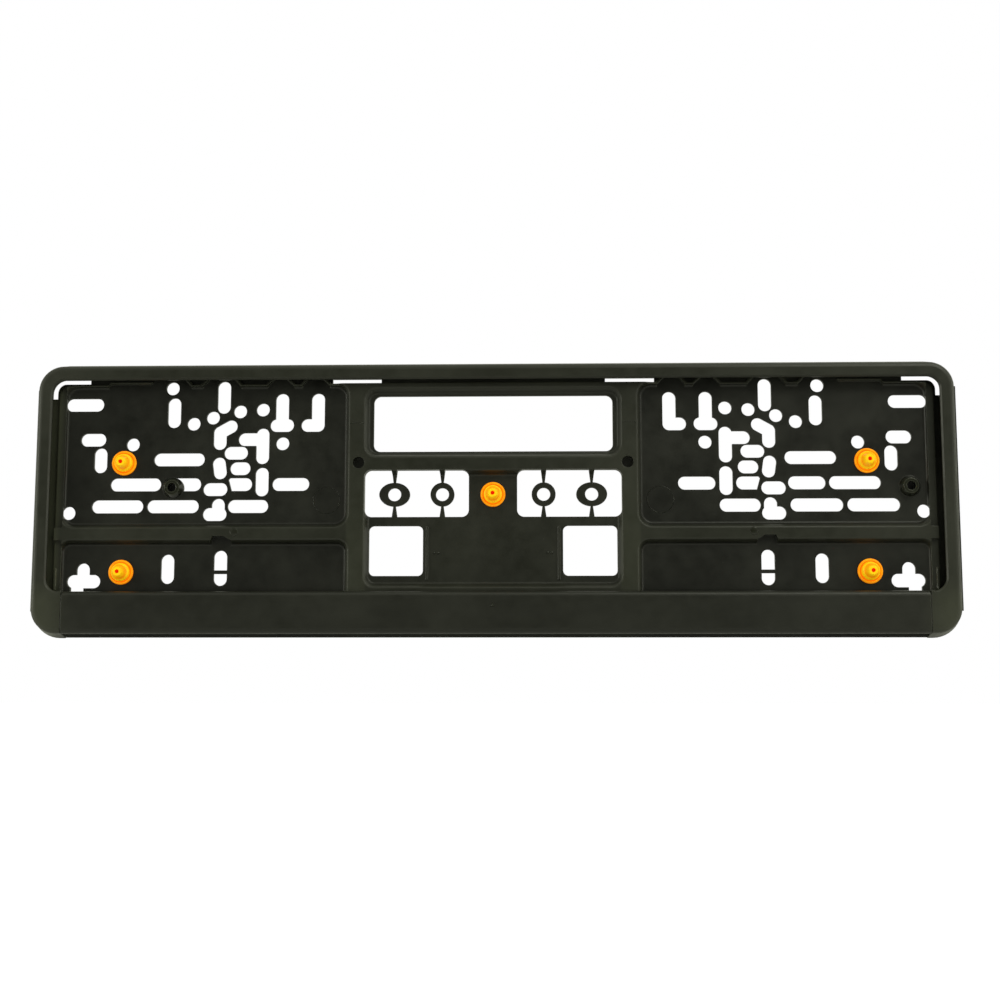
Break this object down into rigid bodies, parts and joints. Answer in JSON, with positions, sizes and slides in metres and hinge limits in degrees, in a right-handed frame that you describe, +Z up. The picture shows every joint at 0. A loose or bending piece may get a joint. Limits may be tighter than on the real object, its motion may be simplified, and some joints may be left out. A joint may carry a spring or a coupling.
{
  "type": "number plate holder",
  "caption": "Moulded plastic number plate holder: rimmed tray with fixing slots and break-off washers, a clip-on lower strip and soft anti-rattle buffers.",
  "frame": {"origin": "middle of the number plate, on the plane that lies on the car", "axes": "+X along the plate, to the right as seen from the front; +Y into the car; +Z up; the front faces -Y"},
  "size_m": [0.52, 0.012, 0.1558],
  "materials": {
    "black_plastic": "satin moulded polypropylene",
    "orange_soft": "smooth soft plastic"
  },
  "bodies": {
    "root": {"base_frame": "black_plastic", "cover_strip": "black_plastic", "buffer_left_upper": "orange_soft", "buffer_left_lower": "orange_soft", "buffer_middle": "orange_soft", "buffer_right_upper": "orange_soft", "buffer_right_lower": "orange_soft"}
  },
  "joints": []
}
